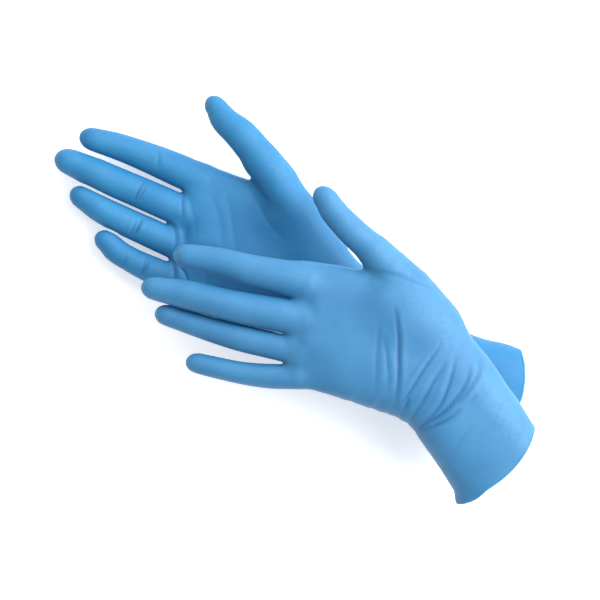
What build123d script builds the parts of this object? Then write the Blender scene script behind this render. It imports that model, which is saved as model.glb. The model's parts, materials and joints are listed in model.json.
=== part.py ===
from build123d import *
import math
import os

# A pair of long rubber gloves lying on a flat surface. Millimetres, +Z up.
# The right glove lies palm up on the surface and the left glove lies palm down across it.
# The fingers point towards -X and the cuffs towards +X.
# Each glove is one thin dipped film, modelled as the zones between which the film flexes.
# Each zone ends in an open ball that nests in the mouth of the zone before it.

# ---- Driving dimensions ----
WALL = 0.6               # wall of every shell, thicker than the real film
GAP = 0.4                # clearance where one zone nests in the next
BALL_COVER = 12.0        # degrees of ball left behind a mouth at full bend
MOUTH_FLARE = 0.12       # widening of a mouth past its hinge, per unit of length
MOUTH_LIP = 1.0          # length of mouth left past the deepest trim
BEAD_RADIUS = 1.3        # rolled bead round each cuff's hem
BEAD_STEP = 1.0          # from the end of the cuff's wall to the bead's centre
SOCKET_DEPTH = 24.0      # how far a finger's socket reaches back into the palm
WRIST_DEPTH = 8.0        # straight length of the wrist's mouth behind its hinge
CORNER_SLACK = 0.05      # keeps a section's corner radius under half its thickness
BLOCK = 120.0            # side of the blocks that trim shells

# Each finger: hinge at its root, hinge at its middle, centre of its rounded tip,
# radii at those three places, and the greatest bend in degrees at root and middle.
RIGHT_FINGERS = {
    "thumb": ((-53, 64.3, 25.5), (-71.5, 73.2, 26), (-88.5, 81.5, 23), (10.2, 9.6, 7.6), (20, 45)),
    "index": ((-94, 40.3, 14.5), (-115, 39.8, 15), (-148, 36, 18), (9.5, 8.8, 6.8), (30, 60)),
    "middle": ((-95.5, 19.4, 15), (-118, 19.2, 16), (-155.5, 17.4, 19.5), (9.5, 9.1, 7.1), (30, 60)),
    "ring": ((-95, -0.4, 14.5), (-113, 0, 15.5), (-139.5, 2.8, 17.5), (9, 8.5, 6.9), (30, 60)),
    "little": ((-84.5, -19.3, 13.5), (-100, -18.2, 14.5), (-116.5, -15.6, 16), (7.9, 7.4, 6.3), (30, 60)),
}
LEFT_FINGERS = {
    "thumb": ((28.6, 42, 61), (9.5, 49.8, 61), (-8.5, 58.4, 60), (10.4, 9.4, 7.4), (12, 30)),
    "index": ((-11.4, 7.7, 56.5), (-33, 3.4, 55), (-68, -4, 50.5), (9.8, 9.1, 7.0), (6, 12)),
    "middle": ((-6.8, -12.5, 56.5), (-36, -19.4, 54.5), (-77, -29.6, 49), (9.3, 8.6, 6.9), (6, 20)),
    "ring": ((-1.9, -30.1, 54.3), (-26, -34.8, 50.5), (-64.5, -41.4, 45), (8.3, 7.7, 6.3), (6, 30)),
    "little": ((3.8, -46.2, 52.5), (-13, -51.4, 49.5), (-37.5, -57.2, 45.5), (7.9, 7.3, 6.1), (6, 30)),
}
FINGERS = {"right": RIGHT_FINGERS, "left": LEFT_FINGERS}

# Palm sections from knuckles to wrist: centre, heading in degrees from +X, width, thickness.
PALM = {
    "right": (((-83, 10.5, 14), 9, 76, 28), ((-40, 10.5, 15), 3, 78, 30), ((0, 11, 17), -2, 66, 34)),
    "left": (((2.5, -17.3, 56), 16, 72, 28), ((32, -9, 58), 8, 77, 32), ((60, -4, 59), -8, 72, 36)),
}
WRIST = {"right": ((30, 8.5, 16.5), -6, 52, 33), "left": ((86, -6, 59.5), -33, 60, 37)}
HEM = {"right": ((138, -2.8, 19.5), -6, 58, 37), "left": ((140, -41, 58), -33, 60, 36)}
THUMB_HEEL = {"right": (-2, 28, 17), "left": (66, 8, 59)}    # inner end of the thumb's mound
THUMB_RISE = {"right": 0.9, "left": 0.0}                     # how far a thumb curls upwards, not inwards
WRIST_BEND = {"right": 12.0, "left": 25.0}                   # greatest bend of each cuff, in degrees

UP = Vector(0, 0, 1)
SIDES = ("right", "left")
FROM_BASE = (Align.CENTER, Align.CENTER, Align.MIN)
FROM_TOP = (Align.CENTER, Align.CENTER, Align.MAX)


def heading(degrees):
    """Level unit vector at the given angle from +X."""
    angle = math.radians(degrees)
    return Vector(math.cos(angle), math.sin(angle), 0)


def along(start, end):
    """Unit vector from one point to another."""
    return (Vector(end) - Vector(start)).normalized()


def distance(start, end):
    """Length between two points."""
    return (Vector(end) - Vector(start)).length


def on_axis(start, direction, shape):
    """Shape made along +Z, moved to the start and turned to the direction."""
    return Plane(origin=start, z_dir=direction) * shape


def section_plane(centre, turn):
    """Plane across a palm or cuff, its X running across the width and its Y up."""
    return Plane(origin=centre, x_dir=UP.cross(heading(turn)), z_dir=heading(turn))


def pill(width, thickness):
    """Flattened section with fully rounded sides."""
    return RectangleRounded(width, thickness, thickness / 2 - CORNER_SLACK)


def inset(section, amount):
    """The same section, made smaller all round."""
    centre, turn, width, thickness = section
    return (centre, turn, width - 2 * amount, thickness - 2 * amount)


def shifted(section, step):
    """The same section, moved along its own heading."""
    centre, turn, width, thickness = section
    return (Vector(centre) + heading(turn) * step, turn, width, thickness)


def tube_through(sections):
    """Solid through a row of sections."""
    faces = []
    for centre, turn, width, thickness in sections:
        faces.append(section_plane(centre, turn) * pill(width, thickness))
    return loft(faces, ruled=True)


def on_ball(radius, angle, height=0.0):
    """Point on a ball's outline: the angle up from its equator, its centre at the height."""
    return (radius * math.cos(angle), height + radius * math.sin(angle))


def ball_arc(radius, first, last, height=0.0):
    """Arc of a ball's outline between two angles."""
    middle = (first + last) / 2
    return ThreePointArc(
        on_ball(radius, first, height), on_ball(radius, middle, height), on_ball(radius, last, height)
    )


def ball_back(bend):
    """Angle below the equator at which a zone's ball is left open."""
    return -math.radians(bend / 2 + BALL_COVER)


def spun(outline):
    """Solid of revolution about +Z of a closed outline drawn in the XZ plane."""
    return revolve(Plane.XZ * make_face(outline), Axis.Z)


def finger_tip(root_radius, tip_radius, length, bend):
    """Hollow finger end along +Z: an open ball at its hinge and a rounded, closed tip."""
    back = ball_back(bend)
    lean = math.asin((root_radius - tip_radius) / length)
    crown = math.pi / 2
    inner_root = root_radius - WALL
    inner_tip = tip_radius - WALL
    outline = [
        ball_arc(root_radius, back, lean),
        Line(on_ball(root_radius, lean), on_ball(tip_radius, lean, length)),
        ball_arc(tip_radius, lean, crown, length),
        Line((0, length + tip_radius), (0, length + inner_tip)),
        ball_arc(inner_tip, crown, lean, length),
        Line(on_ball(inner_tip, lean, length), on_ball(inner_root, lean)),
        ball_arc(inner_root, lean, back),
        Line(on_ball(inner_root, back), on_ball(root_radius, back)),
    ]
    return spun(outline)


def finger_base(root_radius, mouth_radius, length, bend, reach):
    """Hollow finger base along +Z: an open ball at its hinge and a flared mouth past the next hinge."""
    back = ball_back(bend)
    lean = math.asin((root_radius - mouth_radius) / length)
    end_radius = mouth_radius + MOUTH_FLARE * reach
    inner_root = root_radius - WALL
    outline = [
        ball_arc(root_radius, back, lean),
        Line(on_ball(root_radius, lean), (mouth_radius, length)),
        Line((mouth_radius, length), (end_radius, length + reach)),
        Line((end_radius, length + reach), (end_radius - WALL, length + reach)),
        Line((end_radius - WALL, length + reach), (mouth_radius - WALL, length)),
        Line((mouth_radius - WALL, length), on_ball(inner_root, lean)),
        ball_arc(inner_root, lean, back),
        Line(on_ball(inner_root, back), on_ball(root_radius, back)),
    ]
    return spun(outline)


def mouth_reach(radius, bend):
    """How far a mouth runs past its hinge, so that its trim meets no end."""
    return radius * math.tan(math.radians(bend / 2)) + MOUTH_LIP


def curl_direction(side, finger, axis):
    """Unit vector, square to the finger, towards which it curls."""
    palmar = UP if side == "right" else -UP
    if finger == "thumb":
        palmar = UP.cross(axis).normalized() + UP * THUMB_RISE[side]
    return (palmar - axis * palmar.dot(axis)).normalized()


def mouth_trim(centre, axis, curl, bend, size):
    """Block that trims a mouth back on the side towards which the next zone bends."""
    half = math.radians(bend / 2)
    facing = axis * math.cos(half) + curl * math.sin(half)
    plane = Plane(origin=centre, x_dir=axis.cross(curl), z_dir=facing)
    return plane * Box(size, 2 * size, size, align=FROM_BASE)


def finger_zones(side, finger):
    """The base and the tip of one finger."""
    root, middle, tip, radii, bends = FINGERS[side][finger]
    nested = WALL + GAP
    base_axis = along(root, middle)
    reach = mouth_reach(radii[1], bends[1])
    base = finger_base(radii[0] - nested, radii[1], distance(root, middle), bends[0], reach)
    curl = curl_direction(side, finger, base_axis)
    trim = mouth_trim(middle, base_axis, curl, bends[1], 3 * radii[1])
    end = finger_tip(radii[1] - nested, radii[2], distance(middle, tip), bends[1])
    return on_axis(root, base_axis, base) - trim, on_axis(middle, along(middle, tip), end)


def rod(start, end, radius):
    """Plain round solid from one point to another."""
    return on_axis(start, along(start, end), Cylinder(radius, distance(start, end), align=FROM_BASE))


def socket(root, axis, radius, depth, reach):
    """Round solid on a finger's axis, from inside the palm to just past the hinge."""
    return rod(Vector(root) - axis * depth, Vector(root) + axis * reach, radius)


def thumb_mound(side, radius):
    """Round solid from the heel of the hand to just short of the thumb's hinge."""
    root = Vector(FINGERS[side]["thumb"][0])
    heel = Vector(THUMB_HEEL[side])
    return rod(heel, root - along(heel, root) * radius / 2, radius)


def hand_shell(side):
    """Palm, back and wrist of one glove, with a mouth for each finger and one for the cuff."""
    wrist = WRIST[side]
    palm = PALM[side]
    reach = mouth_reach(wrist[2] / 2, WRIST_BEND[side])
    mouth = (shifted(wrist, -WRIST_DEPTH), wrist, shifted(wrist, reach))
    outer_row = (*palm, *mouth)
    inner_row = (shifted(palm[0], WALL), *palm[1:], *mouth)
    outer = tube_through(outer_row)
    inner = tube_through([inset(section, WALL) for section in inner_row])
    thumb_radius = FINGERS[side]["thumb"][3][0]
    outer += thumb_mound(side, thumb_radius)
    inner += thumb_mound(side, thumb_radius - WALL)
    trims = []
    for finger, (root, middle, tip, radii, bends) in FINGERS[side].items():
        axis = along(root, middle)
        reach = mouth_reach(radii[0], bends[0])
        outer += socket(root, axis, radii[0], SOCKET_DEPTH, reach)
        inner += socket(root, axis, radii[0] - WALL, SOCKET_DEPTH - WALL, reach + MOUTH_LIP)
        curl = curl_direction(side, finger, axis)
        trims.append(mouth_trim(root, axis, curl, bends[0], 2 * radii[0] + MOUTH_LIP))
    shell = outer - inner
    for trim in trims:
        shell -= trim
    return shell - wrist_trim(side)


def wrist_curl(side):
    """The right cuff bends sideways where it lies; the left cuff bends upwards."""
    return UP.cross(heading(WRIST[side][1])) if side == "right" else UP


def wrist_trim(side):
    """Block that trims the wrist's mouth."""
    centre, turn, width, thickness = WRIST[side]
    return mouth_trim(centre, heading(turn), wrist_curl(side), WRIST_BEND[side], BLOCK)


def wrist_ball(side, section):
    """Back half of the section spun about the wrist's hinge."""
    centre, turn, width, thickness = section
    if side == "right":
        half = pill(width, thickness) & Rectangle(width, thickness, align=(Align.MIN, Align.CENTER))
        ball = revolve(half, Axis.Y)
        radius = width / 2
    else:
        half = pill(width, thickness) & Rectangle(width, thickness, align=(Align.CENTER, Align.MIN))
        ball = revolve(half, Axis.X)
        radius = thickness / 2
    depth = -radius * math.sin(ball_back(WRIST_BEND[side]))
    return section_plane(centre, turn) * (ball & Box(BLOCK, BLOCK, depth, align=FROM_TOP))


def cuff_shell(side):
    """Open tube from the wrist to the hem, with an open ball at the wrist."""
    wrist = inset(WRIST[side], WALL + GAP)
    hem = HEM[side]
    ball = wrist_ball(side, wrist) - wrist_ball(side, inset(wrist, WALL))
    tube = tube_through((wrist, hem)) - tube_through((inset(wrist, WALL), inset(hem, WALL)))
    return tube + ball


def cuff_bead(side, cuff):
    """Rolled bead that closes the end of the cuff's wall."""
    centre, turn, width, thickness = shifted(inset(HEM[side], WALL / 2), BEAD_STEP)
    path = (section_plane(centre, turn) * pill(width, thickness)).wire()
    roll = Plane(origin=path @ 0, z_dir=path % 0) * Circle(BEAD_RADIUS)
    return sweep(roll, path=path) - cuff


def glove(side):
    """Every zone of one glove, by node name."""
    zones = {f"{side}_hand": hand_shell(side)}
    for finger in FINGERS[side]:
        base, end = finger_zones(side, finger)
        zones[f"{side}_{finger}_base"] = base
        zones[f"{side}_{finger}_tip"] = end
    cuff = cuff_shell(side)
    zones[f"{side}_cuff"] = cuff
    zones[f"{side}_cuff_bead"] = cuff_bead(side, cuff)
    return zones


def origin_shift(zones):
    """Move that puts the origin under the middle of the pair, on the surface it lies on."""
    boxes = [zone.bounding_box() for zone in zones.values()]
    middle_x = (min(box.min.X for box in boxes) + max(box.max.X for box in boxes)) / 2
    middle_y = (min(box.min.Y for box in boxes) + max(box.max.Y for box in boxes)) / 2
    return Vector(-middle_x, -middle_y, -min(box.min.Z for box in boxes))


pair = glove("right") | glove("left")
shift = origin_shift(pair)
os.makedirs("parts", exist_ok=True)
for node, zone in pair.items():
    export_step(Pos(shift) * zone, f"parts/{node}.step")
print("origin shift", shift)
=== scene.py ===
import json
import math

import bmesh
import bpy
import numpy as np
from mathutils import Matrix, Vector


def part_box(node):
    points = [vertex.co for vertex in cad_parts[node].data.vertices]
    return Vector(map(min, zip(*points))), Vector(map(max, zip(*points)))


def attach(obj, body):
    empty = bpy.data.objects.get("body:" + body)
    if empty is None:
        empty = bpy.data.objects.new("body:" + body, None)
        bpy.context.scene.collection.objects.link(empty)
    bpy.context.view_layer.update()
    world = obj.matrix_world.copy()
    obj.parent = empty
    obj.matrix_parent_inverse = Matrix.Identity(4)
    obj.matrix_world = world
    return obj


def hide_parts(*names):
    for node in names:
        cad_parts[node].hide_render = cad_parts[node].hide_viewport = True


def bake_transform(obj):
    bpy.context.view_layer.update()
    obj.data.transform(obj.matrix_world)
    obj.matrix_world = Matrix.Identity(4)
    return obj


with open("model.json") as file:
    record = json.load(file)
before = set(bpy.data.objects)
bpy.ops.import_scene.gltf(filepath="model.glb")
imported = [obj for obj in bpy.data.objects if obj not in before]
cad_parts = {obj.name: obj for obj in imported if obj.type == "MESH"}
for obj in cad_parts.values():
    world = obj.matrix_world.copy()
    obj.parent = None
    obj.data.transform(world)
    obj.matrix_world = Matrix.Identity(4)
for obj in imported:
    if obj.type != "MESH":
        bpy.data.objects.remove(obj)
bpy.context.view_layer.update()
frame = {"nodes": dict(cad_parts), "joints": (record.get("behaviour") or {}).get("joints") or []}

import openvdb
from mathutils import Vector

# A pair of thin rubber gloves. Each is drawn as a distance field, of rounded sections and rods joined
# softly, whose surface is cut where the film bends, folded, and given its thickness piece by piece.
# Shapes are in millimetres until a mesh is made.
MM = 0.001
SIDES = ("right", "left")
FINGERS = ("thumb", "index", "middle", "ring", "little")
UP = np.array([0.0, 0.0, 1.0])

# ---- Driving values ----
CELL = 0.9  # size of the grid that a glove's surface is drawn on
FILM = 0.3                      # thickness of the film
SMOOTH_ROUNDS = 8
SMOOTH_SHARE = 0.5              # how far each round moves a point towards its neighbours' mean
SMOOTH_BACK = 1.04              # how far it then moves back, over how far it came
FAR = 24.0                      # distance given to the grid before any shape is added
GRID_MARGIN = 14.0              # grid kept round a glove's CAD box
ROD_MARGIN = 3.0                # grid worked on round a rod
FLOOR_GAP = 0.3                 # lowest point of the lower glove over the floor
FLOOR_BLEND = 4.0               # softness of the flat that the floor presses into it

# Finger radii at the root hinge, the middle hinge, the last knuckle and the pad.
FINGER_RADII = {
    "right": {
        "thumb": (10.4, 9.5, 7.9, 6.6),
        "index": (9.8, 8.8, 7.9, 6.9),
        "middle": (9.5, 9.2, 9.0, 7.8),
        "ring": (8.8, 8.4, 7.8, 7.0),
        "little": (8.2, 7.3, 7.2, 6.6),
    },
    "left": {
        "thumb": (9.1, 8.3, 7.7, 7.0),
        "index": (10.3, 9.0, 8.0, 7.1),
        "middle": (9.9, 9.0, 8.5, 6.9),
        "ring": (8.0, 7.7, 6.9, 6.3),
        "little": (7.2, 6.4, 6.2, 5.9),
    },
}
# How far a finger's film lies towards the thumb from the line of its hinges, at the same places.
FINGER_LEAN = {
    "right": {
        "thumb": (1.0, 1.0, -0.6, 0.4),
        "index": (0.2, 0.2, 1.0, 0.5),
        "middle": (0.0, 0.1, 0.7, 1.5),
        "ring": (0.6, 0.4, -0.4, 0.3),
        "little": (0.0, -0.5, -0.4, 0.9),
    },
    "left": {
        "thumb": (0.0, -1.2, -1.6, -0.5),
        "index": (0.7, 0.6, 1.5, 0.8),
        "middle": (0.0, 0.1, 1.7, 2.0),
        "ring": (0.5, 0.6, 1.4, 2.6),
        "little": (0.0, -0.3, 0.0, 0.5),
    },
}
FINGER_FLATNESS = 0.93          # thickness of a finger over its width
FINGER_STEPS = 24               # points along a finger
FINGER_ALONE = 1.0              # softness of a finger that is drawn on its own
ROOT_REACH = 14.0               # how far behind its root hinge a finger keeps its radius
ROOT_DEPTH = 27.0               # how far a finger's rod reaches back into the palm
TAIL_LEAN = {"index": -1.0, "little": 3.2}  # how far that end lies towards the thumb
ROOT_TAPER = 0.55               # radius of that end, in root radii
PAD_BACK = 1.35                 # pad's middle from the tip's end, in pad radii
# Balls that round the tip beyond the pad: distance from the tip's end and radius, in pad radii.
END_BALLS = ((1.05, 0.944), (0.90, 0.868), (0.741, 0.741))
POLE_EXTRA = 2.0                # length that smoothing takes off a tip
LAST_KNUCKLE = 0.45             # place of the last knuckle between middle hinge and tip

# Palm and cuff along the middle line, from the wrist hinge: distance along, then the reach
# towards the thumb, away from it, upwards and downwards.
STATIONS = {
    "right": (
        (-120, 38, 31, 8.2, 8.0),
        (-112, 40, 33, 9.3, 8.2),
        (-104, 41, 36, 9.9, 8.8),
        (-94, 42, 38.5, 11, 9.8),
        (-82, 43, 39, 12.5, 11.5),
        (-74, 45.5, 38.5, 13.4, 12.6),
        (-65, 45, 38, 14.6, 13.6),
        (-45, 38.3, 35, 16, 15.2),
        (-22, 29.5, 29, 16.5, 16),
        (0, 23.5, 24, 16, 16),
        (35, 21.5, 22, 16.5, 16.5),
        (62, 20, 22, 17, 17),
        (86, 24, 26, 17.5, 18),
        (100, 27, 29, 18, 19),
        (125, 29, 30, 18, 19.5),
    ),
    "left": (
        (-96, 39.5, 25, 10.9, 6.6),
        (-88, 40.5, 26, 11.2, 6.8),
        (-80, 41.8, 28, 11.6, 7.6),
        (-70, 43.2, 29.2, 12.1, 8.8),
        (-60, 44, 29, 12.7, 10.4),
        (-50, 44, 29, 14.2, 12),
        (-42, 47, 29.3, 15.2, 13),
        (-30, 45, 30, 16.2, 14.6),
        (-12, 38, 30.5, 17.2, 16.6),
        (0, 33.5, 28.5, 17.9, 17.6),
        (14, 31, 27.5, 18.3, 18),
        (28, 30.5, 28, 18, 18),
        (44, 31.5, 27, 18, 18),
        (60, 31, 27.5, 18, 18),
        (85, 30.5, 28.5, 18, 18),
    ),
}
STATION_SOFTNESS = 6            # steps of the middle line over which stations are evened out
# Distance along, then how far the highest line lies towards the thumb.
CREST = {
    "right": ((-100, 3), (-60, 0), (100, 0)),
    "left": ((-88, 5), (-25, 5), (5, 8), (60, 12)),
}
# The back of the hand falls towards the little finger: width of the fall, its share of the
# height, and the distances ahead of the wrist between which it grows.
LITTLE_SIDE = (24.0, 0.5, (45.0, 84.0))
BOXINESS = (2.4, 3.3)           # at wrist and knuckles: 2 is an ellipse, more fills the corners
KNUCKLES = (15.0, 70.0)         # distances ahead of the wrist between which it changes
SECTION_CORE = 0.05             # share of a section round its middle that counts as its middle
WRIST_ROUNDING = 26.0           # length on each side over which the middle line bends
BEND_STEPS = 30                 # steps of the middle line round that bend
STRAIGHT_STEPS = 60             # and on each straight stretch
LINE_PAST_KNUCKLES = 20.0       # how far it runs on past the knuckles
LINE_PAST_HEM = 25.0            # and past the hem
# Points of the thumb's mound: offset from the thumb's root hinge, and radius.
THUMB_ROOTS = {
    "right": ((9.6, -5.2, 0, 11.4), (28.7, -19, -3, 14.8), (52.5, -35, -5, 12)),
    "left": ((12, -6, -1, 12), (26, -12, -2, 14), (46, -22.5, -2, 13.3)),
}
# Points of the film behind the web of the thumb, given in the same way.
WEB_FILLS = {
    "right": (),
    "left": ((12.4, -18.0, 0.6, 7.4), (17.5, -21.4, -0.7, 12), (29.3, -27.3, -1.8, 14)),
}
MOUND_BLEND = (5.0, 14.0)       # softness of the join of mound and palm, at the web and behind it
MOUND_REACH = (12.0, 40.0)      # distances from the thumb's root hinge between which it changes
PALM_BLEND = 9.0                # softness of the joins within a palm
FINGER_GAP = 1.45               # clear space kept between neighbouring fingers
FINGER_BLEND = 3.5              # softness of the join between a finger and the palm
PALM_FRONT = {"right": -108.0, "left": -81.0}  # distance along where the palm begins
FRONT_SLANT = 14.0              # how much further forward the palm begins towards the thumb
SLANT_PLACE = {"right": (-12.0, 34.0), "left": (14.0, 34.0)}  # and where across the palm it grows
PALM_ROUNDING = 12.0            # softness of the palm's front edge
WEB_RADIUS = 6.0
WEB_BLEND = 3.0                 # softness of the join between a web and the palm
WEB_SPAN = (0.3, 0.7)           # share of the way between two fingers that a web takes
# How far each web lies behind the root hinges of the fingers beside it, from the index finger on.
WEB_DEPTHS = {"right": (8.5, 7.5, 14.0), "left": (6.0, 5.4, 10.0)}
# How far the hem is drawn out, the place across where that is most, its fall to the thumb's side
# and to the other, and how much further the corner away from the thumb is drawn.
HEM_BULGE = {"right": (2.2, -6.0, 0.0120, 0.0120, 0.0), "left": (6.0, -10.0, 0.0078, 0.0, 1.6)}
HEM_CORNER = (-20.0, 6.0)       # place across and width of that corner
HEM_LEAN = 3.0                  # how much less the bottom of the hem is drawn out than its top
HEM_HEIGHT = 18.0               # height of the top over the middle
HEM_LENGTH = 45.0               # length of cuff that is drawn out
HEM_CURL = {"right": 0.0, "left": 2.4}  # how far that corner curls outwards
CURL_PLACE = (17.0, 27.0)       # places across between which it grows
CURL_LENGTH = 7.0               # length of cuff that it takes
BEAD_SIDES = 10
BEAD_RADIUS = 0.62
BEAD_INSET = 0.3                # from the film's outer face in to the bead's middle
BEAD_SMOOTH_ROUNDS = 6
BEAD_SWELLS = ((0.10, 0.11, 0.0), (0.06, 0.043, 1.0))  # waves along the bead: share, pace, start

# Where the film is parted into pieces, and where it turns.
ROOT_CUT = -3.5                 # from a root hinge to where palm and finger meet
ROOT_TURN = 9.0                 # length over which the film turns at a root hinge
MIDDLE_TURN = 10.0              # the same at a middle hinge
CUFF_CUT = 30.0                 # from the wrist hinge to where palm and cuff meet
FINGER_CUT_REACH = 1.35         # reach of a cut across a finger, in root radii
CUFF_CUT_REACH = 60.0
FINGER_REACH = 3.0              # farthest that a finger's film lies from its rod

JOINTS = {joint["name"]: joint for joint in frame["joints"]}


# ---- Skeleton, from the frame ----
def spot(joint):
    """A joint's place."""
    return np.array(JOINTS[joint]["pos_m"]) / MM


def unit(vector):
    return vector / np.linalg.norm(vector)


def node_points(node):
    """All corners of a CAD node."""
    mesh = frame["nodes"][node].data
    points = np.empty(len(mesh.vertices) * 3)
    mesh.vertices.foreach_get("co", points)
    return points.reshape(-1, 3) / MM


def finger_pole(side, finger):
    """The very end of a finger: the point of its tip that is farthest from the middle hinge."""
    points = node_points(f"{side}_{finger}_tip")
    reach = np.linalg.norm(points - spot(f"{side}_{finger}_middle_bend"), axis=1)
    return points[reach.argmax()]


def box_middle(node):
    low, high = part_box(node)
    return (np.array(low) + np.array(high)) / 2 / MM


def eased(values, low, high):
    """0 up to low, 1 from high, smooth between."""
    t = np.clip((values - low) / (high - low), 0, 1)
    return t * t * (3 - 2 * t)


def distances_along(line):
    """Distance of each point from the line's start, along the line."""
    return np.concatenate([[0], np.cumsum(np.linalg.norm(np.diff(line, axis=0), axis=1))])


def smooth_line(points, count):
    """Evenly spread points on a smooth curve through the given ones."""
    points = np.asarray(points, float)
    knots = distances_along(points)
    slopes = np.gradient(points, knots, axis=0)
    wanted = np.linspace(0, knots[-1], count)
    span = np.clip(np.searchsorted(knots, wanted, side="right") - 1, 0, len(knots) - 2)
    width = knots[span + 1] - knots[span]
    t = ((wanted - knots[span]) / width)[:, None]
    width = width[:, None]
    return (
        (2 * t**3 - 3 * t**2 + 1) * points[span]
        + (t**3 - 2 * t**2 + t) * width * slopes[span]
        + (3 * t**2 - 2 * t**3) * points[span + 1]
        + (t**3 - t**2) * width * slopes[span + 1]
    )


def middle_line(side):
    """Middle line of palm and cuff: points, and their distances along it from the wrist."""
    knuckles = (spot(f"{side}_index_root_bend") + spot(f"{side}_little_root_bend")) / 2
    wrist = spot(f"{side}_cuff_bend")
    hem = box_middle(f"{side}_cuff_bead")
    before = unit(wrist - knuckles)
    after = unit(hem - wrist)
    start = wrist - before * WRIST_ROUNDING
    end = wrist + after * WRIST_ROUNDING
    t = np.linspace(0, 1, BEND_STEPS + 1)[:, None]
    bend = (1 - t) ** 2 * start + 2 * t * (1 - t) * wrist + t**2 * end
    back = np.linspace(-LINE_PAST_KNUCKLES, np.linalg.norm(start - knuckles), STRAIGHT_STEPS)[:-1, None]
    ahead = np.linspace(0, np.linalg.norm(hem - end) + LINE_PAST_HEM, STRAIGHT_STEPS)[1:, None]
    line = np.concatenate([knuckles + before * back, bend, end + after * ahead])
    run = distances_along(line)
    run -= run[len(back) + BEND_STEPS // 2]
    return line, run


def finger_frame(side, finger):
    """Root, middle, unit vector between them and their distance."""
    root = spot(f"{side}_{finger}_root_bend")
    middle = spot(f"{side}_{finger}_middle_bend")
    return root, middle, unit(middle - root), np.linalg.norm(middle - root)


def half_way(length):
    """Where a finger's film is parted, between its two hinges."""
    return (ROOT_CUT + ROOT_TURN + length - MIDDLE_TURN / 2) / 2


def wrist_frame(side):
    """Wrist hinge, the cuff's heading and the hem's middle."""
    wrist = spot(f"{side}_cuff_bend")
    hem = box_middle(f"{side}_cuff_bead")
    return wrist, unit(hem - wrist), hem


# ---- Distance field ----
WHOLE = (slice(None),) * 3


class Field:
    """Distance to a glove's surface on a grid, negative inside."""

    def __init__(self, low, high):
        self.low = np.asarray(low, float)
        count = np.ceil((np.asarray(high) - self.low) / CELL).astype(int) + 1
        self.axes = [self.low[i] + CELL * np.arange(count[i]) for i in range(3)]
        self.values = np.full(count, FAR, np.float32)

    def window(self, low, high):
        """Slices of the grid that hold a box, and the places of their cells."""
        cuts = []
        for i in range(3):
            first = max(0, int((low[i] - self.low[i]) / CELL))
            last = min(len(self.axes[i]), int((high[i] - self.low[i]) / CELL) + 2)
            cuts.append(slice(first, last))
        places = np.meshgrid(*(self.axes[i][cuts[i]] for i in range(3)), indexing="ij")
        return tuple(cuts), places

    def join(self, cuts, shape, softness):
        """Adds a shape, rounded where it meets what is there."""
        there = self.values[cuts]
        overlap = np.maximum(softness - np.abs(there - shape), 0) / softness
        self.values[cuts] = np.minimum(there, shape) - overlap**2 * softness / 4

    def surface(self):
        """Points and four-sided faces where the distance is nought."""
        grid = openvdb.FloatGrid(float(FAR))
        grid.copyFromArray(self.values, tolerance=0.0)
        grid.transform = openvdb.createLinearTransform(voxelSize=CELL)
        points, quads = grid.convertToQuads()
        return points.astype(float) + self.low, quads.astype(int)


def chain_distance(places, line, radii, flat_along, flatness):
    """Distance to a round rod along a line, thinner in one direction."""
    best = None
    cells = np.stack(places, axis=-1)
    for start, end, first, last in zip(line[:-1], line[1:], radii[:-1], radii[1:]):
        run = end - start
        offset = cells - start
        t = np.clip(offset @ run / (run @ run), 0, 1)
        offset = offset - t[..., None] * run
        lift = offset @ flat_along
        length = np.sqrt((offset**2).sum(-1) + (1 / flatness**2 - 1) * lift**2)
        distance = length - (first + t * (last - first))
        best = distance if best is None else np.minimum(best, distance)
    return best


def add_chain(field, line, radii, softness, flat_along=UP, flatness=1.0):
    """Joins a rod along a line to the field."""
    margin = max(radii) + softness + ROD_MARGIN
    cuts, places = field.window(line.min(0) - margin, line.max(0) + margin)
    field.join(cuts, chain_distance(places, line, radii, flat_along, flatness), softness)


def finger_line(side, finger):
    """Points along a finger's middle, from behind its root hinge to its tip, and its radii there."""
    at_root, at_middle, at_last, at_pad = FINGER_RADII[side][finger]
    root, middle, axis, _ = finger_frame(side, finger)
    pole = finger_pole(side, finger) + axis * POLE_EXTRA
    last = middle + (pole - middle) * LAST_KNUCKLE
    thumbwards = unit(np.cross(axis, UP))
    lean = [thumbwards * amount for amount in FINGER_LEAN[side][finger]]
    end_way = unit(pole - last)
    knots = [root - axis * ROOT_DEPTH, root - axis * ROOT_REACH, root, middle, last]
    knots.append(pole - end_way * at_pad * PAD_BACK)
    tail = thumbwards * TAIL_LEAN.get(finger, 0.0)
    shifts = [lean[0] + tail, lean[0] + tail / 2] + lean
    line = smooth_line([knot + shift for knot, shift in zip(knots, shifts)], FINGER_STEPS)
    run = distances_along(line)
    marks = [run[np.argmin(np.linalg.norm(line - knot, axis=1))] for knot in knots]
    at_marks = (at_root * ROOT_TAPER, at_root, at_root, at_middle, at_last, at_pad)
    radii = np.interp(run, marks, at_marks)
    ends = [pole - end_way * at_pad * back + lean[3] for back, _ in END_BALLS]
    end_radii = [at_pad * radius for _, radius in END_BALLS]
    return np.concatenate([line, ends]), np.append(radii, end_radii)


def finger_distances(side, low, high):
    """Distance to the nearest finger, each finger kept clear of its neighbours."""
    fields = []
    for finger in FINGERS:
        field = Field(low, high)
        line, radii = finger_line(side, finger)
        add_chain(field, line, radii, FINGER_ALONE, UP, FINGER_FLATNESS)
        fields.append(field.values)
    for i in range(len(fields) - 1):
        middle = (fields[i] - fields[i + 1]) / 2
        fields[i] = np.maximum(fields[i], FINGER_GAP / 2 + middle)
        fields[i + 1] = np.maximum(fields[i + 1], FINGER_GAP / 2 - middle)
    return np.min(fields, axis=0)


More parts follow.
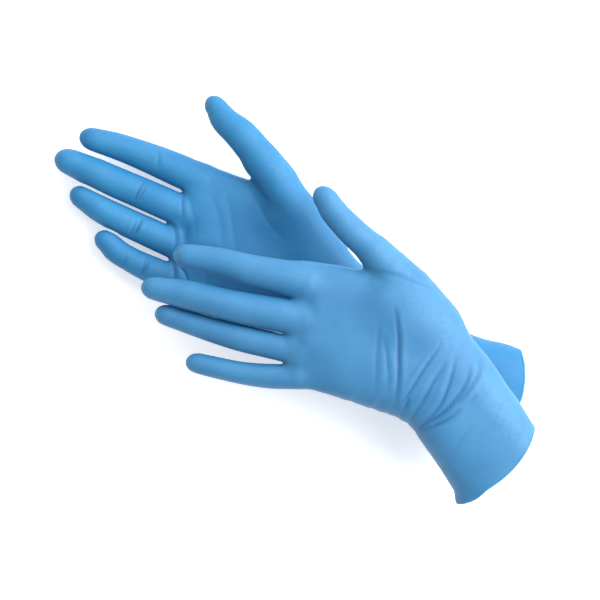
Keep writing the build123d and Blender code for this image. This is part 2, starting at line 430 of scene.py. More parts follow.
def add_webs(field, side):
    """Film between neighbouring finger roots."""
    for near, far, depth in zip(FINGERS[1:-1], FINGERS[2:], WEB_DEPTHS[side]):
        ends = []
        for finger in (near, far):
            root, _, axis, _ = finger_frame(side, finger)
            ends.append(root - axis * (depth + WEB_RADIUS))
        line = np.array([ends[0] + (ends[1] - ends[0]) * share for share in WEB_SPAN])
        add_chain(field, line, [WEB_RADIUS] * 2, WEB_BLEND)


def add_mound(field, side, line, radii):
    """Joins a rod behind the thumb, more softly the farther it is from the thumb's root hinge."""
    root = spot(f"{side}_thumb_root_bend")
    line = root + np.array(line, float)
    margin = max(radii) + MOUND_BLEND[1] + ROD_MARGIN
    cuts, places = field.window(line.min(0) - margin, line.max(0) + margin)
    shape = chain_distance(places, line, radii, UP, 1.0)
    behind = np.sqrt(sum((places[i] - root[i]) ** 2 for i in range(3)))
    softness = MOUND_BLEND[0] + (MOUND_BLEND[1] - MOUND_BLEND[0]) * eased(behind, *MOUND_REACH)
    field.join(cuts, shape, softness)


def add_thumb_mound(field, side):
    """Film from the thumb's root back to the wrist, and behind the web of the thumb."""
    root_point = (0, 0, 0, FINGER_RADII[side]["thumb"][0])
    for points in ((root_point, *THUMB_ROOTS[side]), WEB_FILLS[side]):
        if points:
            line = [point[:3] for point in points]
            add_mound(field, side, line, [point[3] for point in points])


def softened(values):
    """Running mean, so that straight stretches between stations meet softly."""
    width = 2 * STATION_SOFTNESS + 1
    kernel = np.ones(width) / width
    return np.convolve(np.pad(values, STATION_SOFTNESS, mode="edge"), kernel, mode="valid")


def place_on_line(field, line, run):
    """Distance along the middle line, and across it towards the thumb, of each column of the grid."""
    x, y = np.meshgrid(field.axes[0], field.axes[1], indexing="ij")
    flat = np.stack([x, y], -1)
    gap = ((flat[:, :, None, :] - line[None, None, :, :2]) ** 2).sum(-1)
    near = gap.argmin(-1)
    heading = np.gradient(line[:, :2], axis=0)
    heading /= np.linalg.norm(heading, axis=1)[:, None]
    offset = flat - line[near][..., :2]
    across = heading[near][..., 0] * offset[..., 1] - heading[near][..., 1] * offset[..., 0]
    along = run[near] + (offset * heading[near]).sum(-1)
    return along, across


def section_reaches(side, run, along, across):
    """How far the section reaches towards the thumb, away from it, upwards and downwards."""
    stations = np.array(STATIONS[side], float)
    reaches = []
    for i in range(1, stations.shape[1]):
        on_line = softened(np.interp(run, stations[:, 0], stations[:, i]))
        reaches.append(np.interp(along, run, on_line))
    towards, away, above, below = reaches
    width, fall, growth = LITTLE_SIDE
    low_side = eased(-across, 0, width) * eased(-along, *growth)
    return towards, away, above * (1 - fall * low_side), below


def trim_front(side, distance, along, across):
    """Ends the palm at its front, with a rounded edge."""
    front = PALM_FRONT[side] - FRONT_SLANT * eased(across, *SLANT_PLACE[side])
    ends = (front - along)[..., None]
    corner = np.maximum(PALM_ROUNDING - np.abs(distance - ends), 0) / PALM_ROUNDING
    return np.maximum(distance, ends) + corner**2 * PALM_ROUNDING / 4


def add_body(field, side):
    """Palm, wrist and cuff: rounded sections along the middle line."""
    line, run = middle_line(side)
    along, across = place_on_line(field, line, run)
    towards, away, above, below = section_reaches(side, run, along, across)
    crest = np.array(CREST[side], float)
    crest = np.interp(along, crest[:, 0], crest[:, 1])
    across -= crest
    wide = np.abs(across) / np.where(across > 0, towards - crest, away + crest)
    height = field.axes[2][None, None, :] - np.interp(along, run, line[:, 2])[..., None]
    tall = np.abs(height) / np.where(height > 0, above[..., None], below[..., None])
    power = BOXINESS[0] + (BOXINESS[1] - BOXINESS[0]) * eased(-along, *KNUCKLES)[..., None]
    share = (wide[..., None] ** power + tall**power) ** (1 / power)
    radius = np.sqrt(across[..., None] ** 2 + height**2)
    distance = radius * (1 - 1 / np.maximum(share, SECTION_CORE / 2))
    distance = np.where(share < SECTION_CORE, -above[..., None], distance)
    distance = trim_front(side, distance, along, across)
    field.join(WHOLE, distance.astype(np.float32), PALM_BLEND)


def press_flat(field):
    """Flattens a glove softly where it lies on the floor."""
    floor = FLOOR_GAP - field.axes[2][None, None, :]
    overlap = np.maximum(FLOOR_BLEND - np.abs(field.values - floor), 0) / FLOOR_BLEND
    rounding = overlap**2 * FLOOR_BLEND / 4
    field.values = np.maximum(field.values, floor) + rounding.astype(np.float32)


def glove_field(side):
    """The whole glove's distance field."""
    nodes = [name for name in frame["nodes"] if name.startswith(side)]
    boxes = [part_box(name) for name in nodes]
    low = np.min([box[0] for box in boxes], axis=0) / MM - GRID_MARGIN
    high = np.max([box[1] for box in boxes], axis=0) / MM + GRID_MARGIN
    field = Field(low, high)
    add_body(field, side)
    add_thumb_mound(field, side)
    add_webs(field, side)
    field.join(WHOLE, finger_distances(side, low, high), FINGER_BLEND)
    if side == "right":
        press_flat(field)
    return field


# ---- Mesh ----
NEARLY_NOUGHT = 1e-12


class Skin:
    """A mesh as plain arrays: points, and the corners, first corner and corner count of each face."""

    def __init__(self, mesh):
        self.points = np.empty(len(mesh.vertices) * 3)
        mesh.vertices.foreach_get("co", self.points)
        self.points = self.points.reshape(-1, 3)
        self.corners = np.empty(len(mesh.loops), int)
        mesh.loops.foreach_get("vertex_index", self.corners)
        self.first = np.empty(len(mesh.polygons), int)
        mesh.polygons.foreach_get("loop_start", self.first)
        self.count = np.empty(len(mesh.polygons), int)
        mesh.polygons.foreach_get("loop_total", self.count)

    def owner(self):
        """The face that each corner belongs to."""
        return np.repeat(np.arange(len(self.first)), self.count)

    def next_corners(self):
        """The point that follows each corner round its face."""
        following = np.arange(1, len(self.corners) + 1)
        ends = self.first + self.count - 1
        following[ends] = self.first
        return self.corners[following]

    def centres(self):
        """Mean of each face's corners."""
        owner = self.owner()
        sums = [np.bincount(owner, self.points[self.corners, i]) for i in range(3)]
        return np.stack(sums, 1) / self.count[:, None]

    def normals(self):
        """Smooth outward normal at each point."""
        here = self.points[self.corners]
        ahead = self.points[self.next_corners()]
        owner = self.owner()
        twist = np.cross(here, ahead)
        face = np.stack([np.bincount(owner, twist[:, i]) for i in range(3)], 1)
        spread = face[owner]
        total = len(self.points)
        sums = [np.bincount(self.corners, spread[:, i], total) for i in range(3)]
        normals = np.stack(sums, 1)
        return normals / np.maximum(np.linalg.norm(normals, axis=1), NEARLY_NOUGHT)[:, None]

    def smooth(self):
        """Evens out the points without shrinking the shape."""
        a = self.corners
        b = self.next_corners()
        ends = np.concatenate([a, b])
        others = np.concatenate([b, a])
        total = len(self.points)
        valence = np.bincount(ends, minlength=total)[:, None]
        for share in (SMOOTH_SHARE, -SMOOTH_SHARE * SMOOTH_BACK) * SMOOTH_ROUNDS:
            sums = [np.bincount(ends, self.points[others, i], total) for i in range(3)]
            self.points += share * (np.stack(sums, 1) / valence - self.points)

    def border(self, faces):
        """Edges that only one of the chosen faces has, as pairs of points in that face's order."""
        chosen = faces[self.owner()]
        a = self.corners[chosen]
        b = self.next_corners()[chosen]
        total = len(self.points)
        forward = a * total + b
        backward = b * total + a
        alone = ~np.isin(forward, backward)
        return a[alone], b[alone]


def first_corners(count):
    """The first corner of each face, from the faces' corner counts."""
    return np.concatenate([[0], np.cumsum(count)[:-1]])


def mesh_from(name, points, corners, count):
    """A mesh in metres from arrays in millimetres."""
    mesh = bpy.data.meshes.new(name)
    mesh.vertices.add(len(points))
    mesh.vertices.foreach_set("co", (points * MM).ravel())
    mesh.loops.add(len(corners))
    mesh.loops.foreach_set("vertex_index", corners)
    mesh.polygons.add(len(count))
    mesh.polygons.foreach_set("loop_start", first_corners(count))
    mesh.update(calc_edges=True)
    mesh.validate()
    return mesh


def add_object(name, data):
    piece = bpy.data.objects.new(name, data)
    bpy.context.scene.collection.objects.link(piece)
    return piece


def film_piece(name, skin, normals, faces):
    """The chosen faces as film with a thickness: outer and inner faces, joined round every border."""
    chosen = faces[skin.owner()]
    corners = skin.corners[chosen]
    used, corners = np.unique(corners, return_inverse=True)
    place = np.zeros(len(skin.points), int)
    place[used] = np.arange(len(used))
    count = skin.count[faces]
    total = len(used)
    outer = skin.points[used]
    inner = outer - normals[used] * FILM
    starts = np.repeat(first_corners(count), count)
    steps = np.arange(len(corners)) - starts
    flipped = corners[starts + np.repeat(count, count) - 1 - steps] + total
    a, b = skin.border(faces)
    a = place[a]
    b = place[b]
    rim = np.stack([b, a, a + total, b + total], 1).ravel()
    mesh = mesh_from(
        name,
        np.concatenate([outer, inner]),
        np.concatenate([corners, flipped, rim]),
        np.concatenate([count, count, np.full(len(a), 4)]),
    )
    mesh.shade_smooth()
    # share of painted shade from folds and hollows, by which the material darkens the film
    fold = mesh.attributes.new("fold", "FLOAT", "POINT")
    fold.data.foreach_set("value", np.tile(skin.fold[used], 2))
    both = np.concatenate([normals[used], -normals[used]])
    mesh.normals_split_custom_set_from_vertices(both.tolist())
    return add_object(name, mesh)


# ---- Folds ----
# Each fold: the joint that its points are given from, half its width, its depth, how much painted
# shade darkens its crease, the side that the film stands up on, and its points.
FOLDS = {
    "left": (
        ("cuff_bend", 1.2, 1.0, 1.0, 1,
         ((-36, 25), (-31, 17), (-26, 8), (-22, -1), (-18, -10), (-15, -18), (-12, -28))),
        ("cuff_bend", 1.5, 0.45, 0.4, 1, ((-41, 14), (-37, 5), (-33, -6), (-28, -18), (-25, -26))),
        ("cuff_bend", 1.2, 0.45, 0.45, 1, ((-35, 8), (-29, -2), (-23.5, -11.5), (-19, -22))),
        ("cuff_bend", 1.1, 0.9, 0.8, -1,
         ((-3, 17), (-5, 7), (-7, -4), (-8, -12), (-9, -19), (-9.5, -24))),
        ("cuff_bend", 0.9, 0.8, 0.7, 1, ((-7, -19), (-6.5, -28))),
        ("cuff_bend", 1.5, 0.7, 0.5, -1, ((4, 9), (1.5, -2), (0.5, -15), (-0.5, -24), (-2, -36))),
        ("cuff_bend", 1.4, 0.9, 0.7, -1,
         ((7, 13), (9, 2), (10, -7.5), (10, -16), (8, -24), (4, -33))),
        ("cuff_bend", 1.4, 1.3, 1.0, 1,
         ((16.5, 12), (18.5, 3), (18, -5.5), (16, -13.5), (12.5, -22), (7, -30), (3, -38))),
        ("cuff_bend", 1.2, 0.9, 0.65, 1, ((20.5, 18), (23, 9), (22, 2), (20.5, -6), (18, -13))),
        ("cuff_bend", 0.9, 0.5, 0.4, -1, ((26.5, -2), (24, -10))),
        ("cuff_bend", 1.4, 1.0, 0.8, 1, ((22, -13), (18, -21), (12.5, -28), (6, -35))),
        ("cuff_bend", 1.8, 0.35, 0.1, -1, ((30, -19), (27, -28), (24, -38))),
        ("thumb_root_bend", 1.3, 0.6, 0.35, 1,
         ((1.5, -10.5), (9.5, -8.5), (18, -7), (31, -5.5), (42, -7))),
    ),
    "right": (
        ("index_middle_bend", 0.9, 0.4, 0.5, 1, ((4.5, 7), (6.5, 2), (8.5, -3))),
        ("middle_middle_bend", 0.9, 0.75, 1.0, 1, ((7.5, 7.5), (7, 1), (6.5, -6))),
        ("middle_middle_bend", 0.8, 0.6, 0.9, -1, ((9.5, 6.5), (9.2, 1.5), (8.5, -4))),
        ("ring_middle_bend", 0.9, 0.75, 1.0, 1, ((9.5, 6.5), (10, 1), (9.5, -6))),
        ("ring_middle_bend", 0.8, 0.6, 0.9, -1, ((7.3, 4), (7.3, -1.5), (7.3, -6.5))),
        ("little_middle_bend", 0.9, 0.75, 1.0, 1, ((8.5, 4.5), (9.3, -1), (9.5, -6.5))),
        ("little_middle_bend", 0.8, 0.6, 0.9, -1, ((10.3, 4), (10.8, -0.5), (10.3, -5))),
        ("little_middle_bend", 0.7, 0.35, 0.6, 1, ((-2, 1.5), (-2, -4))),
        ("middle_root_bend", 0.9, 0.6, 1.0, 1, ((8, 10.5), (10, 5), (12, 1), (14.5, -5))),
        ("middle_root_bend", 2.4, 0.35, 0.1, -1,
         ((7, 11), (13, 7), (17.5, 2), (22, -5), (26, -13))),
        ("ring_root_bend", 1.1, 0.9, 1.0, 1,
         ((5, 10.5), (10, 9.5), (13.5, 6.5), (16, 1), (17, -5))),
        ("little_root_bend", 1.0, 0.9, 1.0, 1,
         ((5, 10.5), (9.5, 7.5), (11.5, 4.5), (13.5, 0), (15, -5))),
        ("little_root_bend", 1.0, 0.8, 1.0, -1, ((6.5, 10), (14, 8), (18.5, 5), (21, 1), (23, -4))),
        ("little_root_bend", 0.9, 0.4, 0.3, 1, ((28.5, 11.5), (30.5, 8), (32.5, 3))),
        ("middle_root_bend", 3.0, 0.4, 0.0, -1, ((22, 16), (30, 9), (36, 0), (42, -10))),
        ("middle_root_bend", 2.6, 0.35, 0.0, -1, ((30, 20), (38, 10), (44, 0), (50, -10))),
        ("thumb_root_bend", 2.0, 0.5, 0.1, 1, ((-4, -14), (6, -22), (18, -32), (32, -38))),
    ),
}
FOLD_REACH = 6.0                # how far a fold moves the film, in fold widths
FOLD_FADE = 0.7                 # how a fold fades to its ends: less is more sudden
VALLEY_SHAPE = 1.3              # steepness of a fold's valley
RIDGE = 0.35                    # height of a fold's raised side over its depth
RIDGE_PLACE = 2.1               # its place from the fold, in fold widths
RIDGE_WIDTH = 1.4               # its width, in fold widths
SHADE_PLACE = -0.25             # place and width of a fold's painted shade, in fold widths
SHADE_WIDTH = 0.6
UPPER_SIDE = (-0.45, 0.15)      # height of the normal between which folds set in
# Broad soft hollows: joint, place from it, radius, depth and how much painted shade darkens the hollow.
HOLLOWS = {
    "left": (),
    "right": (
        ("middle_root_bend", (58, 2), 30, 4.0, 0.42),
        ("middle_root_bend", (30, 18), 12, 0.5, 0.0),
    ),
}
# Loose wrinkles round the wrist: reach along the cuff, depths everywhere, on the underside and on
# the little finger's side, where those two begin and are full, and the lengths of their waves.
WRINKLE_REACH = 26.0
WRINKLE_DEPTHS = (0.10, 0.30, 0.22)
UNDERSIDE = (-0.1, 0.6)
LITTLE_FINGER_SIDE = (4.0, 26.0)
WRINKLE_LENGTHS = (9.5, 6.7, 13.0)
WRINKLE_LEANS = ((0, 0), (0.35, 0), (-0.3, 0.2))  # how far each leans across the cuff and upwards
# Faint unevenness of all the film.
SOFT_DEPTH = 0.12
SOFT_DIRECTIONS = ((1, 0.3, 0.2), (-0.2, 1, 0.3), (0.5, -0.6, 1))
SOFT_LENGTHS = (31.0, 23.0, 41.0)
BEND_LENGTH = 1.7               # how slowly a wave is bent, over its length
BEND_AMOUNT = 1.8               # how much it is bent, in radians
WAVE_STEP = 2.1                 # how far each wave starts past the last, in radians


def path_distance(flat, path):
    """Signed distance to a path on the level plane, and how far along the path, from 0 to 1."""
    best = np.full(len(flat), np.inf)
    signed = np.zeros(len(flat))
    place = np.zeros(len(flat))
    for i, (start, end) in enumerate(zip(path[:-1], path[1:])):
        run = end - start
        offset = flat - start
        t = np.clip(offset @ run / (run @ run), 0, 1)
        gap = offset - t[:, None] * run
        length = np.sqrt((gap**2).sum(1))
        near = length < best
        side_of = np.sign(run[0] * gap[:, 1] - run[1] * gap[:, 0])
        signed[near] = (length * side_of)[near]
        place[near] = ((i + t) / (len(path) - 1))[near]
        best[near] = length[near]
    return signed, place


def fold_depth(flat, joint, width, depth, shade_strength, raised, points):
    """How far one fold moves each point, negative inwards, and how much painted shade it gets in the
    crease.
    """
    path = smooth_line([joint[:2] + np.array(point) for point in points], 4 * len(points))
    low = path.min(0) - FOLD_REACH * width
    high = path.max(0) + FOLD_REACH * width
    near = np.flatnonzero(((flat > low) & (flat < high)).all(1))
    signed, place = path_distance(flat[near], path)
    fade = np.sin(math.pi * np.clip(place, 0, 1)) ** FOLD_FADE
    across = signed * raised / width
    valley = np.exp(-VALLEY_SHAPE * np.abs(across) ** VALLEY_SHAPE)
    ridge = RIDGE * np.exp(-(((across - RIDGE_PLACE) / RIDGE_WIDTH) ** 2))
    move = np.zeros(len(flat))
    line = np.zeros(len(flat))
    move[near] = depth * fade * (ridge - valley)
    # painted shade along the crease
    line[near] = shade_strength * fade * np.exp(-(((across - SHADE_PLACE) / SHADE_WIDTH) ** 2))
    return move, line


def add_folds(side, skin):
    """Folds and hollows of the upper side with painted shade in them, and loose wrinkles round the
    wrist and below.
    """
    normals = skin.normals()
    flat = skin.points[:, :2]
    move = np.zeros(len(flat))
    shade_share = np.zeros(len(flat))
    for anchor, width, depth, shade_strength, raised, points in FOLDS[side]:
        lift, line = fold_depth(flat, spot(f"{side}_{anchor}"), width, depth, shade_strength, raised, points)
        move += lift
        shade_share = np.maximum(shade_share, line)
    for anchor, place, radius, depth, shade_strength in HOLLOWS[side]:
        gap = flat - spot(f"{side}_{anchor}")[:2] - np.array(place)
        share = np.exp(-((gap**2).sum(1) / radius**2))
        move -= depth * share
        # painted shade in the hollow, strongest at its middle
        shade_share = np.maximum(shade_share, shade_strength * share)
    upper = eased(normals[:, 2], *UPPER_SIDE)
    move *= upper
    skin.fold = shade_share * upper
    skin.points += (move + loose_wrinkles(side, skin.points, normals))[:, None] * normals


def waves(points, directions, lengths):
    """The mean of slanted waves, each bent by another across it."""
    total = np.zeros(len(points))
    for i, (direction, length) in enumerate(zip(directions, lengths)):
        direction = unit(np.array(direction, float))
        bend = np.sin(points @ np.roll(direction, 1) / (length * BEND_LENGTH) + i) * BEND_AMOUNT
        total += np.sin(points @ direction * 2 * math.pi / length + bend + i * WAVE_STEP)
    return total / len(lengths)


def loose_wrinkles(side, points, normals):
    """Wrinkles in the film round the wrist, stronger below, and faint unevenness elsewhere."""
    wrist, heading, _ = wrist_frame(side)
    past = (points - wrist) @ heading
    sideways = np.cross(UP, heading)
    across = (points - wrist) @ sideways
    round_wrist = np.exp(-((past / WRINKLE_REACH) ** 2))
    below = eased(-normals[:, 2], *UNDERSIDE)
    inside = eased(-across, *LITTLE_FINGER_SIDE)
    everywhere, more_below, more_inside = WRINKLE_DEPTHS
    bands = [heading + aside * sideways + lift * UP for aside, lift in WRINKLE_LEANS]
    fine = waves(points, bands, WRINKLE_LENGTHS)
    soft = waves(points, SOFT_DIRECTIONS, SOFT_LENGTHS)
    depth = everywhere + more_below * below + more_inside * inside
    return fine * round_wrist * depth + SOFT_DEPTH * soft


# ---- Cuts ----
CUT_SLACK = 1e-4                # a point this near to a cut is on it


def cut_off(bm, place, facing):
    """Cuts the whole skin with a plane and drops what lies beyond."""
    geom = bm.verts[:] + bm.edges[:] + bm.faces[:]
    bmesh.ops.bisect_plane(
        bm, geom=geom, plane_co=Vector(place), plane_no=Vector(facing), clear_outer=True, dist=CUT_SLACK
    )


def cut(bm, place, facing, reach):
    """Cuts the faces near a place with a plane."""
    middle = Vector(place)
    faces = [face for face in bm.faces if (face.calc_center_median() - middle).length < reach]
    edges = {edge for face in faces for edge in face.edges}
    verts = {vert for face in faces for vert in face.verts}
    geom = list(verts) + list(edges) + faces
    bmesh.ops.bisect_plane(bm, geom=geom, plane_co=middle, plane_no=Vector(facing), dist=CUT_SLACK)


def cut_glove(side, points, quads):
    """The glove's skin, open at the hem and cut where its pieces meet."""
    mesh = bpy.data.meshes.new("whole")
    mesh.from_pydata(points.tolist(), [], quads.tolist())
    bm = bmesh.new()
    bm.from_mesh(mesh)
    wrist, heading, hem = wrist_frame(side)
    cut_off(bm, hem, heading)
    cut(bm, wrist + heading * CUFF_CUT, heading, CUFF_CUT_REACH)
    for finger in FINGERS:
        root, _, axis, length = finger_frame(side, finger)
        reach = FINGER_RADII[side][finger][0] * FINGER_CUT_REACH
        cut(bm, root + axis * ROOT_CUT, axis, reach)
        cut(bm, root + axis * half_way(length), axis, reach)
    bm.to_mesh(mesh)
    bm.free()
    return Skin(mesh)


def piece_masks(side, skin):
    """Which faces belong to which piece."""
    centres = skin.centres()
    wrist, heading, _ = wrist_frame(side)
    masks = {}
    taken = np.zeros(len(centres), bool)
    gaps = []
    for finger in FINGERS:
        balls = zip(*finger_line(side, finger))
        over = [np.linalg.norm(centres - place, axis=1) - radius for place, radius in balls]
        gaps.append(np.min(over, axis=0))
    nearest = np.argmin(gaps, axis=0)
    for i, finger in enumerate(FINGERS):
        root, _, axis, length = finger_frame(side, finger)
        ahead = (centres - root) @ axis
        own = (ahead > ROOT_CUT) & (gaps[i] < FINGER_REACH) & (nearest == i)
        taken |= own
        masks[f"{finger}_root"] = own & (ahead < half_way(length))
        masks[f"{finger}_end"] = own & (ahead >= half_way(length))
    past = (centres - wrist) @ heading
    masks["cuff"] = (past > CUFF_CUT) & ~taken
    masks["palm"] = ~masks["cuff"] & ~taken
    return masks


def shape_hem(side, skin):
    """Draws the hem out along the cuff in a curve, most at its top, and curls its corner."""
    _, heading, hem = wrist_frame(side)
    reach, place, fall, other_fall, corner = HEM_BULGE[side]
    corner_place, corner_width = HEM_CORNER
    offset = skin.points - hem
    along = offset @ heading
    sideways = np.cross(UP, heading)
    across = offset @ sideways
    height = np.clip(offset[:, 2] / HEM_HEIGHT, -1, 1)
    slope = np.where(across > place, fall, other_fall)
    draw = reach - slope * (across - place) ** 2 - HEM_LEAN * (1 - height) / 2
    draw += corner * np.exp(-(((across - corner_place) / corner_width) ** 2))
    draw *= eased(along, -HEM_LENGTH, 0)
    skin.points += draw[:, None] * heading
    curl = HEM_CURL[side] * eased(along, -CURL_LENGTH, 0) * eased(-across, *CURL_PLACE)
    skin.points -= curl[:, None] * sideways


def hem_ring(side, skin):
    """Points round the hem in order, evened out."""
    ends, _ = skin.border(np.ones(len(skin.first), bool))
    _, heading, hem = wrist_frame(side)
    ring = skin.points[ends]
    turn = np.arctan2(ring[:, 2] - hem[2], (ring - hem) @ np.cross(UP, heading))
    ring = ring[np.argsort(turn)]
    for _ in range(BEAD_SMOOTH_ROUNDS):
        ring = (np.roll(ring, 1, 0) + 2 * ring + np.roll(ring, -1, 0)) / 4
    return ring


def ring_faces(total, sides):
    """Four-sided faces of a closed tube, from its rings of points."""
    i = np.arange(total)[:, None] * sides
    j = (np.arange(total)[:, None] + 1) % total * sides
    k = np.arange(sides)[None, :]
    m = (k + 1) % sides
    return np.stack([i + k, i + m, j + m, j + k], -1).reshape(-1, 4)


def rolled_edge(side, skin):
    """Thin bead along the hem."""
    _, heading, _ = wrist_frame(side)
    ring = hem_ring(side, skin)
    ahead = np.roll(ring, -1, 0) - np.roll(ring, 1, 0)
    ahead /= np.linalg.norm(ahead, axis=1)[:, None]
    outward = np.cross(ahead, heading)
    outward /= np.linalg.norm(outward, axis=1)[:, None]
    forward = np.cross(outward, ahead)
    turns = np.arange(BEAD_SIDES) * 2 * math.pi / BEAD_SIDES
    steps = np.arange(len(ring))
    swell = 1 + sum(share * np.sin(steps * pace + start) for share, pace, start in BEAD_SWELLS)
    points = (
        (ring - outward * BEAD_INSET)[:, None]
        + outward[:, None] * (np.cos(turns) * BEAD_RADIUS)[None, :, None] * swell[:, None, None]
        + forward[:, None] * (np.sin(turns) * BEAD_RADIUS)[None, :, None] * swell[:, None, None]
    )
    name = f"{side}_rolled_edge"
    quads = ring_faces(len(ring), BEAD_SIDES)
    mesh = mesh_from(name, points.reshape(-1, 3), quads.ravel(), np.full(len(quads), 4))
    mesh.shade_smooth()
    return add_object(name, mesh)


def finish_piece(piece, kind):
    """Gives a piece its film."""
    piece.data.materials.append(nitrile(kind))


def add_palm_and_cuff(side, skin, normals, masks):
    """The palm's piece, and the cuff's two."""
    hand = f"{side}_hand"
    cuff = f"{side}_cuff"
    palm = film_piece(f"{side}_palm_film", skin, normals, masks["palm"])
    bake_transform(palm)
    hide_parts(hand)
    tube = film_piece(f"{side}_cuff_film", skin, normals, masks["cuff"])
    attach(tube, cuff)
    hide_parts(cuff)
    edge = rolled_edge(side, skin)
    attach(edge, cuff)
    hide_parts(f"{side}_cuff_bead")
    finish_piece(palm, side)
    finish_piece(tube, side)
    # its paler film is a painted highlight along the hem
    finish_piece(edge, "edge")


def add_finger(side, finger, skin, normals, masks):
    """The two pieces of a finger."""
    base = f"{side}_{finger}_base"
    tip = f"{side}_{finger}_tip"
    near = film_piece(f"{side}_{finger}_root_film", skin, normals, masks[f"{finger}_root"])
    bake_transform(near)
    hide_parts(base)
    far = film_piece(f"{side}_{finger}_end_film", skin, normals, masks[f"{finger}_end"])
    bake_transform(far)
    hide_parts(tip)
    finish_piece(near, side)
    finish_piece(far, side)


def build_glove(side):
    """Every piece of one glove, the cuff's pieces on the cuff's body."""
    points, quads = glove_field(side).surface()
    skin = cut_glove(side, points, quads)
    skin.smooth()
    add_folds(side, skin)
    shape_hem(side, skin)
    normals = skin.normals()
    masks = piece_masks(side, skin)
    add_palm_and_cuff(side, skin, normals, masks)
    for finger in FINGERS:
        add_finger(side, finger, skin, normals, masks)


# ---- Materials ----
# Each film: its colour where it is thin and where it is thicker, its specular level, and its
# least and greatest roughness.
FILMS = {
    "left": ((0.032, 0.200, 0.402), (0.020, 0.166, 0.366), 0.65, 0.56, 0.68),
    # the right glove's colour is a deeper, more saturated copy of the same film: painted shade for the
    # glove lying lower, under the left one
    "right": ((0.021, 0.196, 0.405), (0.012, 0.162, 0.362), 0.45, 0.56, 0.68),
    # the rolled edge is paler than the film: painted highlight along the hem
    "edge": ((0.060, 0.262, 0.470), (0.040, 0.215, 0.420), 0.6, 0.42, 0.52),
}
PAINTED_SHADE_COLOUR = (0.0, 0.082, 0.240)  # colour of the painted shade in folds and hollows
FILM_IOR = 1.52
# Noises: waves per metre, detail and roughness of the soft mottling, the speckle and the grain of
# the dipped surface, then the ranges of noise over which the colour and the roughness change.
MOTTLE = (38, 3, 0.55)
SPECKLE = (420, 2, 0.5)
GRAIN = (1700, 2, 0.6)
MOTTLE_COLOUR = (0.35, 0.65)
SPECKLE_COLOUR = (0.4, 0.75)
SPECKLE_ROUGHNESS = (0.3, 0.7)
SPECKLE_SHARE = 0.22            # how far speckle takes the film to its thicker colour
SPECKLE_BUMP = (0.0002, 0.10)   # height in metres, and strength
GRAIN_BUMP = (0.00005, 0.20)
MIX_COLOURS = (6, 7)            # places of a mix node's colour sockets
MIX_RESULT = 2                  # and of its mixed colour


def add_node(tree, kind, settings=(), values=()):
    """A shader node with its settings and the values of its sockets."""
    made = tree.nodes.new(kind)
    for name, value in dict(settings).items():
        setattr(made, name, value)
    for name, value in dict(values).items():
        made.inputs[name].default_value = value
    return made


def noise_node(tree, coordinates, scale, detail, roughness):
    values = {"Scale": scale, "Detail": detail, "Roughness": roughness}
    made = add_node(tree, "ShaderNodeTexNoise", values=values)
    tree.links.new(coordinates, made.inputs["Vector"])
    return made.outputs["Fac"]


def mapped(tree, value, low, high, first, last):
    """A value's range low to high turned into first to last."""
    ends = {"From Min": low, "From Max": high, "To Min": first, "To Max": last}
    made = add_node(tree, "ShaderNodeMapRange", values=ends)
    tree.links.new(value, made.inputs["Value"])
    return made.outputs["Result"]


def mixed_colour(tree, share, first, last):
    """A colour between two others, each a constant or another node's output."""
    made = add_node(tree, "ShaderNodeMix", settings={"data_type": "RGBA"})
    tree.links.new(share, made.inputs["Factor"])
    for place, colour in zip(MIX_COLOURS, (first, last)):
        if isinstance(colour, tuple):
            made.inputs[place].default_value = (*colour, 1)
        else:
            tree.links.new(colour, made.inputs[place])
    return made.outputs[MIX_RESULT]


def bumped(tree, height, depth, strength, below=None):
    """A surface direction from a height, over another one if given."""
    made = add_node(tree, "ShaderNodeBump", values={"Strength": strength, "Distance": depth})
    tree.links.new(height, made.inputs["Height"])
    if below is not None:
        tree.links.new(below, made.inputs["Normal"])
    return made.outputs["Normal"]


def nitrile(kind):
    """Satin nitrile film: soft mottling, fine dipped grain, and painted shade in the folds and hollows.
    """
    name = f"nitrile_{kind}"
    if name in bpy.data.materials:
        return bpy.data.materials[name]
    pale, deep, specular, smoothest, roughest = FILMS[kind]
    material = bpy.data.materials.new(name)
    material.use_nodes = True
    tree = material.node_tree
    shader = tree.nodes["Principled BSDF"]
    place = add_node(tree, "ShaderNodeTexCoord").outputs["Object"]
    mottle = noise_node(tree, place, *MOTTLE)
    speckle = noise_node(tree, place, *SPECKLE)
    grain = noise_node(tree, place, *GRAIN)
    fold = add_node(tree, "ShaderNodeAttribute", settings={"attribute_name": "fold"}).outputs["Fac"]
    film = mixed_colour(tree, mapped(tree, mottle, *MOTTLE_COLOUR, 0, 1), pale, deep)
    film = mixed_colour(tree, mapped(tree, speckle, *SPECKLE_COLOUR, 0, SPECKLE_SHARE), film, deep)
    # painted shade: the film darkened where folds and hollows lie
    film = mixed_colour(tree, fold, film, PAINTED_SHADE_COLOUR)
    tree.links.new(film, shader.inputs["Base Color"])
    roughness = mapped(tree, speckle, *SPECKLE_ROUGHNESS, smoothest, roughest)
    tree.links.new(roughness, shader.inputs["Roughness"])
    surface = bumped(tree, speckle, *SPECKLE_BUMP)
    surface = bumped(tree, grain, *GRAIN_BUMP, surface)
    tree.links.new(surface, shader.inputs["Normal"])
    shader.inputs["IOR"].default_value = FILM_IOR
    shader.inputs["Specular IOR Level"].default_value = specular
    return material


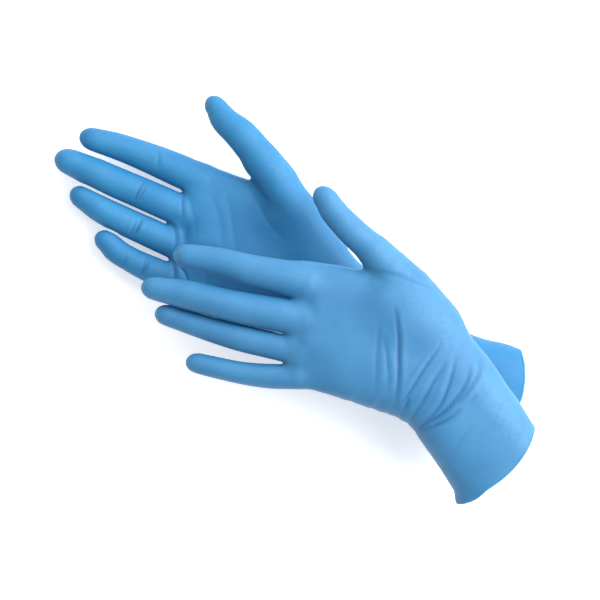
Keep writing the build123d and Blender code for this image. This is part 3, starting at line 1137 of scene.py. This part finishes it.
# ---- Studio ----
# Metres and watts. The camera looks straight down.
VIEW_TURN = math.radians(24)    # the object's +X, turned from the picture's right
CAMERA_HEIGHT = 1.5
FRAME_WIDTH = 0.348             # width of the picture at FRAME_DISTANCE from the camera
FRAME_DISTANCE = 1.47
AIM = (0.0024, -0.0107)         # place under the camera
SENSOR_WIDTH = 36               # in millimetres, like the lens
FLOOR_SIZE = 6.0
FLOOR_COLOUR = (0.93, 0.93, 0.93, 1)
FLOOR_ROUGHNESS = 0.9
FLOOR_GLOW = 0.45               # light that the floor gives of its own, which softens shadows
WORLD_LIGHT = 0.52
WHITE = (1, 1, 1, 1)
# Each soft light: place, width and power.
LIGHTS = {
    "key": ((0.75, 0.80, 1.10), 2.0, 52),
    "fill": ((-0.6, 0.9, 1.0), 1.6, 5),
}


def add_camera():
    data = bpy.data.cameras.new("camera")
    data.sensor_width = SENSOR_WIDTH
    data.lens = SENSOR_WIDTH * FRAME_DISTANCE / FRAME_WIDTH
    camera = add_object("camera", data)
    camera.location = (*AIM, CAMERA_HEIGHT)
    camera.rotation_euler = (0, 0, VIEW_TURN)
    bpy.context.scene.camera = camera


def add_light(name, place, width, power):
    """A round area light that faces the object."""
    data = bpy.data.lights.new(name, "AREA")
    data.shape = "DISK"
    data.size = width
    data.energy = power
    lamp = add_object(name, data)
    lamp.location = place
    lamp.rotation_euler = (-Vector(place)).to_track_quat("-Z", "Y").to_euler()


def add_floor():
    half = FLOOR_SIZE / 2
    corners = [(-half, -half, 0), (half, -half, 0), (half, half, 0), (-half, half, 0)]
    mesh = bpy.data.meshes.new("floor")
    mesh.from_pydata(corners, [], [(0, 1, 2, 3)])
    material = bpy.data.materials.new("floor_paint")
    material.use_nodes = True
    shader = material.node_tree.nodes["Principled BSDF"]
    shader.inputs["Base Color"].default_value = FLOOR_COLOUR
    shader.inputs["Roughness"].default_value = FLOOR_ROUGHNESS
    shader.inputs["Emission Color"].default_value = WHITE
    shader.inputs["Emission Strength"].default_value = FLOOR_GLOW
    mesh.materials.append(material)
    floor = add_object("floor", mesh)


def add_studio():
    add_floor()
    world = bpy.data.worlds.new("studio")
    world.use_nodes = True
    background = world.node_tree.nodes["Background"]
    background.inputs["Color"].default_value = WHITE
    background.inputs["Strength"].default_value = WORLD_LIGHT
    bpy.context.scene.world = world
    for name, (place, width, power) in LIGHTS.items():
        add_light(name, place, width, power)
    bpy.context.scene.view_settings.view_transform = "Standard"


add_camera()
for side in SIDES:
    build_glove(side)
add_studio()
